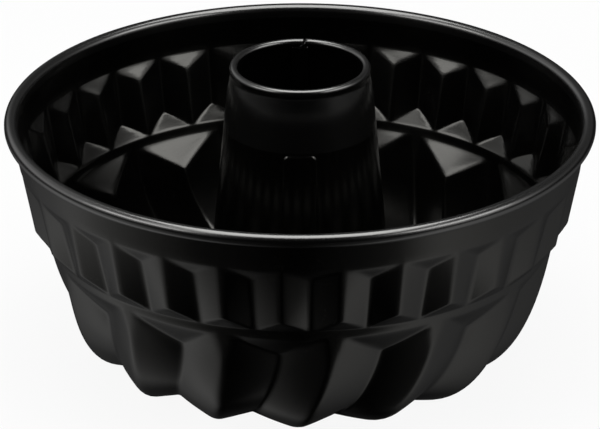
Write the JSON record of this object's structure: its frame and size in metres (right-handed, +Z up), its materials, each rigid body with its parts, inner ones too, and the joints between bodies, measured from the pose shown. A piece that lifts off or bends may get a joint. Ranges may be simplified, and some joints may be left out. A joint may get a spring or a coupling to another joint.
{
  "type": "fluted tube pan",
  "caption": "Round fluted tube pan of dark coated sheet steel with a rolled rim, swirled flutes and a tall conical centre tube, for baking ring cakes.",
  "frame": {"origin": "centre of the base, on the plane that the flutes' lands stand on", "axes": "+Z up along the centre tube, -Y towards the front, with the tube's seam at the back on +Y"},
  "size_m": [0.2198, 0.2196, 0.115],
  "materials": {
    "coated_steel": "satin black non-stick coating",
    "wire_steel": "bare drawn wire"
  },
  "bodies": {
    "root": {"fluted_shell": "coated_steel", "centre_tube": "coated_steel", "rim_wire": "wire_steel"}
  },
  "joints": []
}
